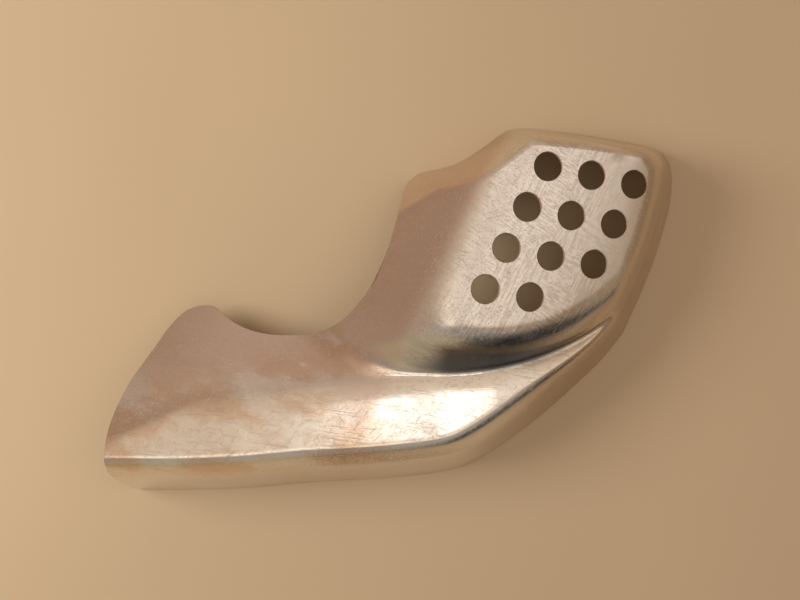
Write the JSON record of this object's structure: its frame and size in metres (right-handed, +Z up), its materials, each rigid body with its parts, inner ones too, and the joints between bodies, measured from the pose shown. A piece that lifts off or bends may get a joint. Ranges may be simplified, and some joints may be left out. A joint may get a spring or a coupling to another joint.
{
  "type": "exhaust manifold heat guard",
  "caption": "Formed aluminium heat guard for an exhaust manifold: a half-round trough and a raised vent-hole box, with hidden pipe clamps inside.",
  "frame": {"origin": "middle of the guard's footprint, on the plane that its rim rests on", "axes": "+X along the pipe towards the vented box, +Y towards the vented box's back wall, +Z up out of the covered side"},
  "size_m": [0.31, 0.206, 0.0724],
  "materials": {
    "polished_aluminium": "polished and brushed, with fine scratches",
    "bridge_steel": "brushed, heat tinted",
    "band_steel": "rolled strip",
    "housing_steel": "pressed, satin",
    "screw_steel": "zinc plated"
  },
  "bodies": {
    "guard": {"guard_shell": "polished_aluminium", "front_bridge": "bridge_steel", "middle_bridge": "bridge_steel", "rear_bridge": "bridge_steel"},
    "front_clamp": {"front_band": "band_steel", "front_worm_housing": "housing_steel"},
    "front_worm": {"front_worm_screw": "screw_steel"},
    "middle_clamp": {"middle_band": "band_steel", "middle_worm_housing": "housing_steel"},
    "middle_worm": {"middle_worm_screw": "screw_steel"},
    "rear_clamp": {"rear_band": "band_steel", "rear_worm_housing": "housing_steel"},
    "rear_worm": {"rear_worm_screw": "screw_steel"}
  },
  "joints": [
    {"name": "front_clamp_swivel", "type": "hinge", "parent": "guard", "child": "front_clamp", "pos_m": [-0.10995, -0.06665, 0.0269], "axis": [1, 0.0001, 0.002], "range_deg": [-12, 12]},
    {"name": "front_worm_turn", "type": "hinge", "parent": "front_clamp", "child": "front_worm", "pos_m": [-0.10995, -0.04068, 0.02232], "axis": [-0.0019, 0.1737, 0.9848], "continuous": true},
    {"name": "middle_clamp_swivel", "type": "hinge", "parent": "guard", "child": "middle_clamp", "pos_m": [-0.01487, -0.06065, 0.0269], "axis": [1, 0.0004, 0.0054], "range_deg": [-12, 12]},
    {"name": "middle_worm_turn", "type": "hinge", "parent": "middle_clamp", "child": "middle_worm", "pos_m": [-0.01486, -0.03467, 0.02233], "axis": [-0.0054, 0.1735, 0.9848], "continuous": true},
    {"name": "rear_clamp_swivel", "type": "hinge", "parent": "guard", "child": "rear_clamp", "pos_m": [0.04499, -0.04132, 0.02683], "axis": [0.8385, 0.5449, 0.0046], "range_deg": [-12, 12]},
    {"name": "rear_worm_turn", "type": "hinge", "parent": "rear_clamp", "child": "rear_worm", "pos_m": [0.03085, -0.01953, 0.02226], "axis": [-0.0984, 0.1431, 0.9848], "continuous": true}
  ]
}
